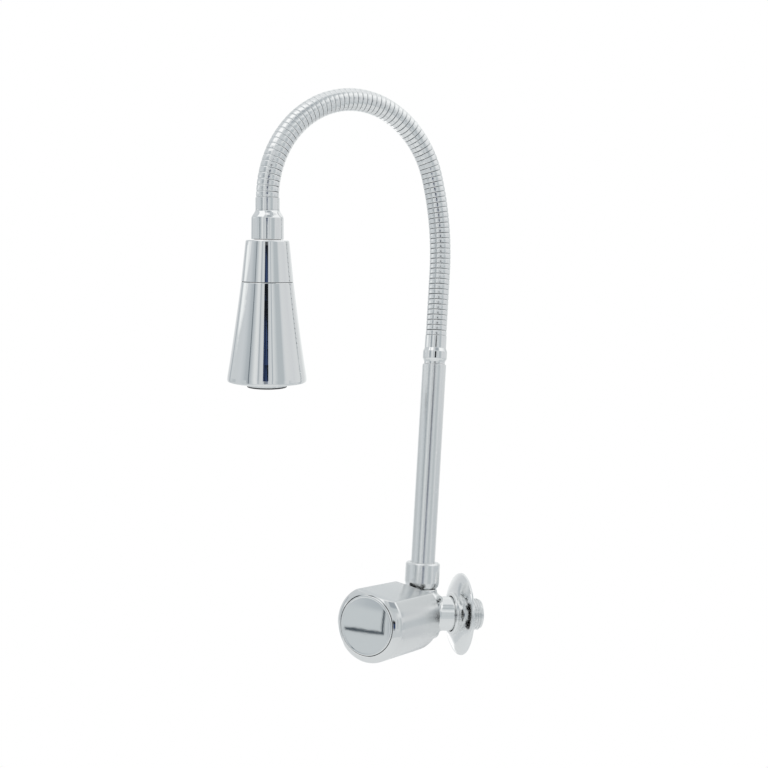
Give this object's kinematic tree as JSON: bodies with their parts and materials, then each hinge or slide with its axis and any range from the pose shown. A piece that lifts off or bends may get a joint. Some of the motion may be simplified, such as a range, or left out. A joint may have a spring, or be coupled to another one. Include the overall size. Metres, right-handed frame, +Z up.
{
  "type": "wall-mounted kitchen faucet",
  "caption": "Wall-mounted kitchen faucet: quarter-turn knob at an angle, swivel riser, bendable banded gooseneck arch and a cone spray head with a twist-to-change jet.",
  "frame": {"origin": "centre of the wall flange's back face, on the inlet axis", "axes": "+Z up along the riser, +Y into the wall along the inlet thread, +X to the right of someone facing the wall"},
  "size_m": [0.0899, 0.1817, 0.365],
  "materials": {
    "chromed_steel": "polished chrome plate",
    "chromed_brass": "polished chrome plate over cast brass",
    "chromed_tube": "polished chrome plate",
    "chromed_steel_strip": "chromed strip, slightly worn",
    "chromed_knob": "polished chrome plate",
    "chromed_shell": "polished chrome plate on moulded plastic",
    "black_rubber": "matt",
    "stainless_steel": "bright",
    "white_ceramic": "lapped ceramic",
    "bare_brass": "turned brass",
    "white_nylon": "moulded",
    "dark_plastic": "moulded, satin"
  },
  "bodies": {
    "wall_body": {"wall_flange": "chromed_steel", "flange_grip_ring": "black_rubber", "inlet_strainer": "stainless_steel", "valve_body": "chromed_brass", "seat_seal": "black_rubber", "fixed_disc": "white_ceramic", "cartridge_housing": "bare_brass", "housing_gasket": "black_rubber", "spout_nut": "chromed_brass"},
    "knob": {"knob_shell": "chromed_knob", "knob_insert": "white_nylon", "knob_screw": "stainless_steel", "knob_cap": "chromed_knob", "spindle": "bare_brass", "spindle_seal": "black_rubber", "retaining_clip": "stainless_steel", "moving_disc": "white_ceramic"},
    "riser": {"riser_tube": "chromed_tube", "lower_riser_seal": "black_rubber", "upper_riser_seal": "black_rubber", "riser_collar": "white_nylon", "hose_ferrule": "chromed_tube", "hose_link_01": "chromed_steel_strip"},
    "link_02": {"hose_link_02": "chromed_steel_strip"},
    "link_03": {"hose_link_03": "chromed_steel_strip"},
    "link_04": {"hose_link_04": "chromed_steel_strip"},
    "link_05": {"hose_link_05": "chromed_steel_strip"},
    "link_06": {"hose_link_06": "chromed_steel_strip"},
    "link_07": {"hose_link_07": "chromed_steel_strip"},
    "link_08": {"hose_link_08": "chromed_steel_strip"},
    "link_09": {"hose_link_09": "chromed_steel_strip"},
    "head": {"hose_link_10": "chromed_steel_strip", "head_ferrule": "chromed_tube", "head_washer": "black_rubber", "head_collar": "chromed_brass", "head_upper_shell": "chromed_shell", "head_core": "white_nylon", "core_seal": "black_rubber", "shell_clip": "stainless_steel"},
    "jet_shell": {"head_lower_shell": "chromed_shell", "jet_disc": "white_nylon", "spray_plate": "dark_plastic", "nozzle_ring": "dark_plastic", "aerator_insert": "white_nylon"}
  },
  "joints": [
    {"name": "knob_turn", "type": "hinge", "parent": "wall_body", "child": "knob", "pos_m": [0, -0.029, 0.001], "axis": [0.7071, -0.7071, 0], "range_deg": [0, 90]},
    {"name": "spout_swivel", "type": "hinge", "parent": "wall_body", "child": "riser", "pos_m": [0, -0.029, 0], "axis": [0, 0, 1], "range_deg": [-90, 66]},
    {"name": "lower_bend_1", "type": "hinge", "parent": "riser", "child": "link_02", "pos_m": [0, -0.029, 0.21506], "axis": [0.9348, 0.3551, 0], "range_deg": [-6, 3]},
    {"name": "lower_bend_2", "type": "hinge", "parent": "link_02", "child": "link_03", "pos_m": [0.0002, -0.02954, 0.2439], "axis": [0.9348, 0.3551, 0], "range_deg": [-6, 3]},
    {"name": "lower_bend_3", "type": "hinge", "parent": "link_03", "child": "link_04", "pos_m": [0.00183, -0.03381, 0.27236], "axis": [0.9348, 0.3551, 0], "range_deg": [-6, 3]},
    {"name": "lower_bend_4", "type": "hinge", "parent": "link_04", "child": "link_05", "pos_m": [0.00512, -0.04248, 0.29963], "axis": [0.9348, 0.3551, 0], "range_deg": [-6, 3]},
    {"name": "upper_bend_1", "type": "hinge", "parent": "link_05", "child": "link_06", "pos_m": [0.01187, -0.06025, 0.32094], "axis": [0.9348, 0.3551, 0], "range_deg": [-6, 3]},
    {"name": "upper_bend_2", "type": "hinge", "parent": "link_06", "child": "link_07", "pos_m": [0.02141, -0.08537, 0.33062], "axis": [0.9348, 0.3551, 0], "range_deg": [-6, 3]},
    {"name": "upper_bend_3", "type": "hinge", "parent": "link_07", "child": "link_08", "pos_m": [0.03064, -0.11217, 0.32675], "axis": [0.9311, 0.3399, -0.1325], "range_deg": [-6, 3]},
    {"name": "upper_bend_4", "type": "hinge", "parent": "link_08", "child": "link_09", "pos_m": [0.03684, -0.13526, 0.31103], "axis": [0.9311, 0.3399, -0.1325], "range_deg": [-6, 3]},
    {"name": "upper_bend_5", "type": "hinge", "parent": "link_09", "child": "head", "pos_m": [0.03876, -0.15005, 0.28661], "axis": [0.9311, 0.3399, -0.1325], "range_deg": [-6, 3]},
    {"name": "jet_twist", "type": "hinge", "parent": "head", "child": "jet_shell", "pos_m": [0.03604, -0.15361, 0.25835], "axis": [-0.1712, 0.0866, -0.9814], "range_deg": [0, 90]}
  ],
  "couplings": [
    {"joint": "lower_bend_2", "follows": "lower_bend_1", "ratio": 1},
    {"joint": "lower_bend_3", "follows": "lower_bend_1", "ratio": 1},
    {"joint": "lower_bend_4", "follows": "lower_bend_1", "ratio": 1},
    {"joint": "upper_bend_2", "follows": "upper_bend_1", "ratio": 1},
    {"joint": "upper_bend_3", "follows": "upper_bend_1", "ratio": 1},
    {"joint": "upper_bend_4", "follows": "upper_bend_1", "ratio": 1},
    {"joint": "upper_bend_5", "follows": "upper_bend_1", "ratio": 1}
  ]
}
